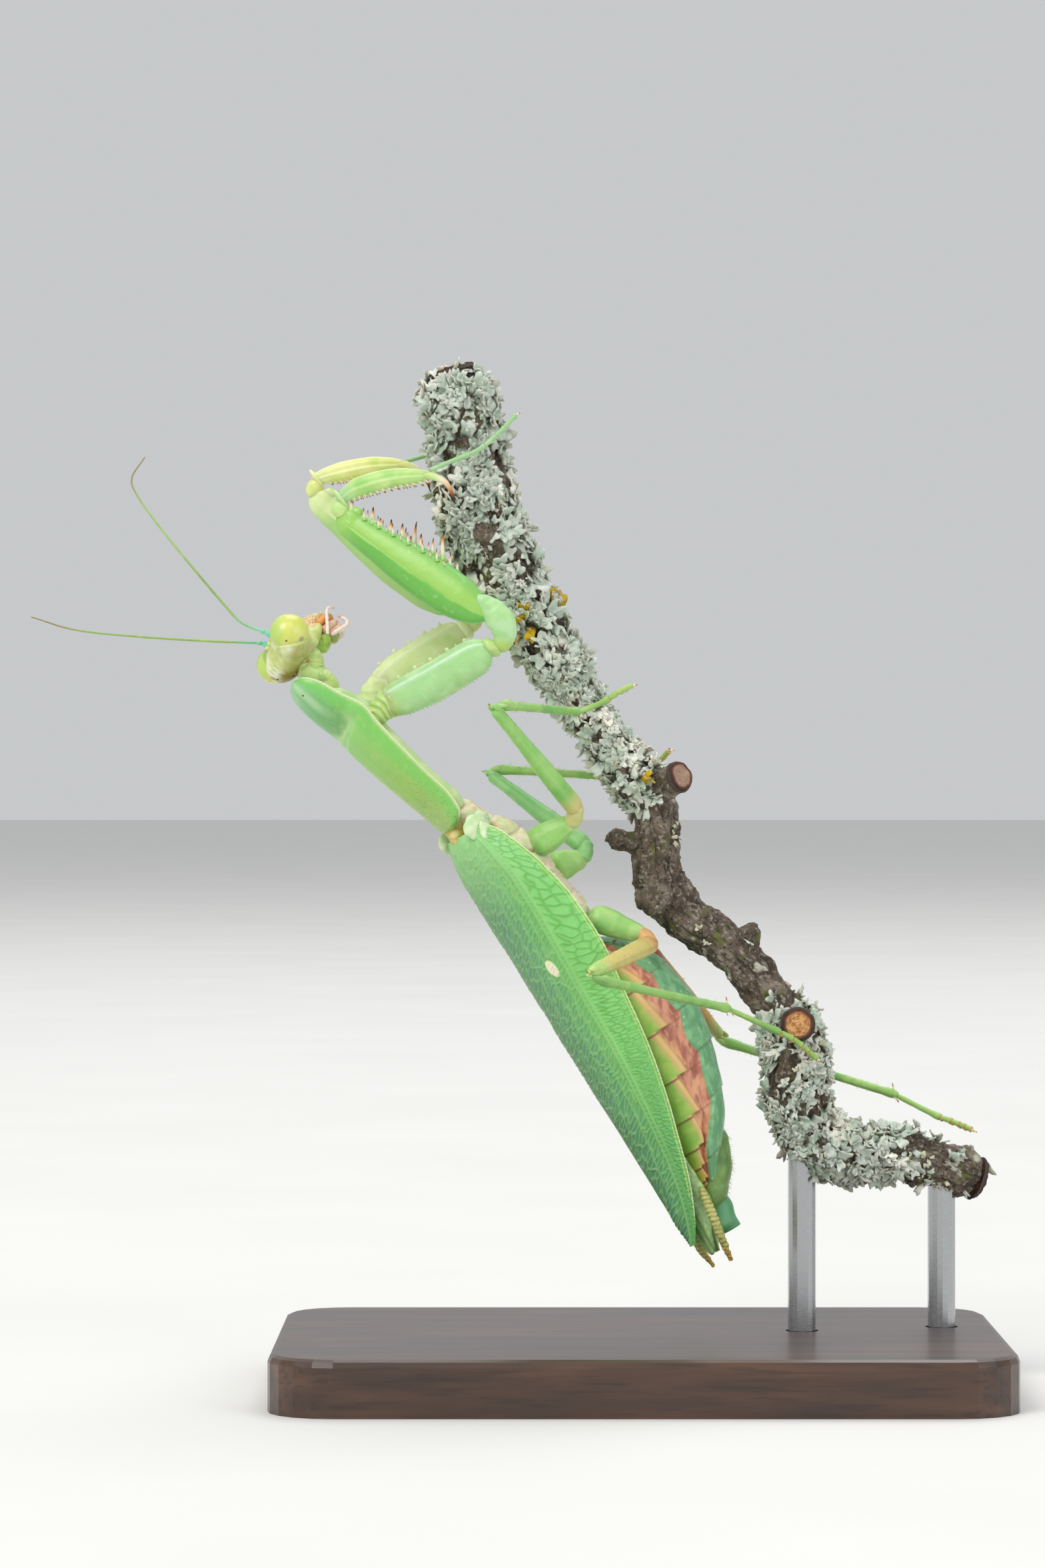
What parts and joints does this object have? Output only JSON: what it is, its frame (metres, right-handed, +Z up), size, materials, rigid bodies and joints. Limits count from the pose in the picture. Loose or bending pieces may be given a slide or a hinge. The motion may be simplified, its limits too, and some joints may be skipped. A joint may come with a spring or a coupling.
{
  "type": "praying mantis",
  "caption": "Life-size praying mantis with raised grasping forelegs and folded wings, climbing a short lichen-covered branch held on rods above a flat display base.",
  "frame": {"origin": "middle of the stand base's underside", "axes": "+Z up; -X is the side that the mantis's head points to; -Y is the side that its right flank faces, which is also the side seen in the picture"},
  "size_m": [0.1037, 0.056, 0.1109],
  "materials": {
    "abdomen": "satin, yellow-green segments with pink-brown side membrane",
    "thorax": "satin, cream and pink",
    "pronotum": "satin green",
    "underside": "satin green",
    "wing": "satin green with raised veins",
    "hindwing": "thin, green, slightly see-through",
    "head": "satin yellow-green",
    "eye": "glossy yellow-green",
    "mouth": "satin cream and brown",
    "neck": "soft wrinkled skin, green",
    "feeler": "satin green to brown",
    "foreleg": "satin green",
    "leg": "satin green",
    "bark": "rough grey-brown bark with pale grey-green lichen",
    "base": "satin dark wood",
    "rod": "satin steel"
  },
  "bodies": {
    "root": {"abdomen": "abdomen", "antenna_l": "feeler", "antenna_r": "feeler", "cercus_l": "abdomen", "cercus_r": "abdomen", "eye_l": "eye", "eye_r": "eye", "fore_coxa_l": "foreleg", "fore_coxa_r": "foreleg", "fore_femur_l": "foreleg", "fore_femur_r": "foreleg", "fore_tarsus_l": "foreleg", "fore_tarsus_r": "foreleg", "fore_tibia_l": "foreleg", "fore_tibia_r": "foreleg", "fore_trochanter_l": "foreleg", "fore_trochanter_r": "foreleg", "head": "head", "hind_coxa_l": "leg", "hind_coxa_r": "leg", "hind_femur_l": "leg", "hind_femur_r": "leg", "hind_tarsus_l": "leg", "hind_tarsus_r": "leg", "hind_tibia_l": "leg", "hind_tibia_r": "leg", "hindwing_l": "hindwing", "hindwing_r": "hindwing", "mid_coxa_l": "leg", "mid_coxa_r": "leg", "mid_femur_l": "leg", "mid_femur_r": "leg", "mid_tarsus_l": "leg", "mid_tarsus_r": "leg", "mid_tibia_l": "leg", "mid_tibia_r": "leg", "mouthparts": "mouth", "neck": "neck", "ovipositor": "underside", "perch": "bark", "pronotum": "pronotum", "prosternum": "underside", "pterothorax": "thorax", "stand_base": "base", "stand_rod_1": "rod", "stand_rod_2": "rod", "subgenital_plate": "abdomen", "tegmen_l": "wing", "tegmen_r": "wing"}
  },
  "joints": []
}
